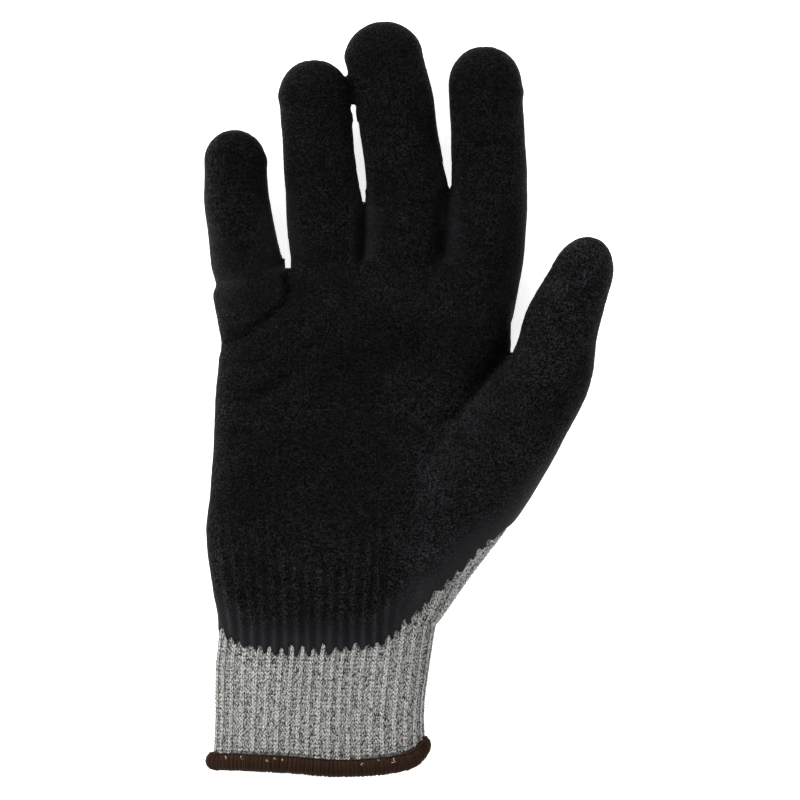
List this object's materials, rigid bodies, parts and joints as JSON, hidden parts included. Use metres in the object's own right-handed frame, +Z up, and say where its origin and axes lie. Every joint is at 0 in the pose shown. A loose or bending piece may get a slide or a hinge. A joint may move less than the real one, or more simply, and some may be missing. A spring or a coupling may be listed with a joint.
{
  "type": "latex coated grip glove",
  "caption": "Right-hand work glove: a hollow knitted liner with a ribbed cuff and overlocked hem, its palm, finger fronts and fingertips dipped in crinkled black latex.",
  "frame": {"origin": "on the surface the glove lies on, under the middle of its bounding box", "axes": "+Y from the cuff to the fingertips, +X to the thumb's side, +Z up out of the palm"},
  "size_m": [0.136, 0.25, 0.0303],
  "materials": {
    "yarn": "marled grey and black knitted yarn, matt and slightly fuzzy",
    "latex": "foamed black latex with a fine crinkle, low sheen",
    "hem_thread": "dense dark brown overlock thread with a few pale yarn ends"
  },
  "bodies": {
    "root": {"knit_cuff": "yarn", "knit_heel": "yarn", "knit_palm": "yarn", "knit_knuckles": "yarn", "knit_little_finger": "yarn", "knit_ring_finger": "yarn", "knit_middle_finger": "yarn", "knit_index_finger": "yarn", "knit_thumb": "yarn", "latex_coating": "latex", "hem": "hem_thread"}
  },
  "joints": []
}
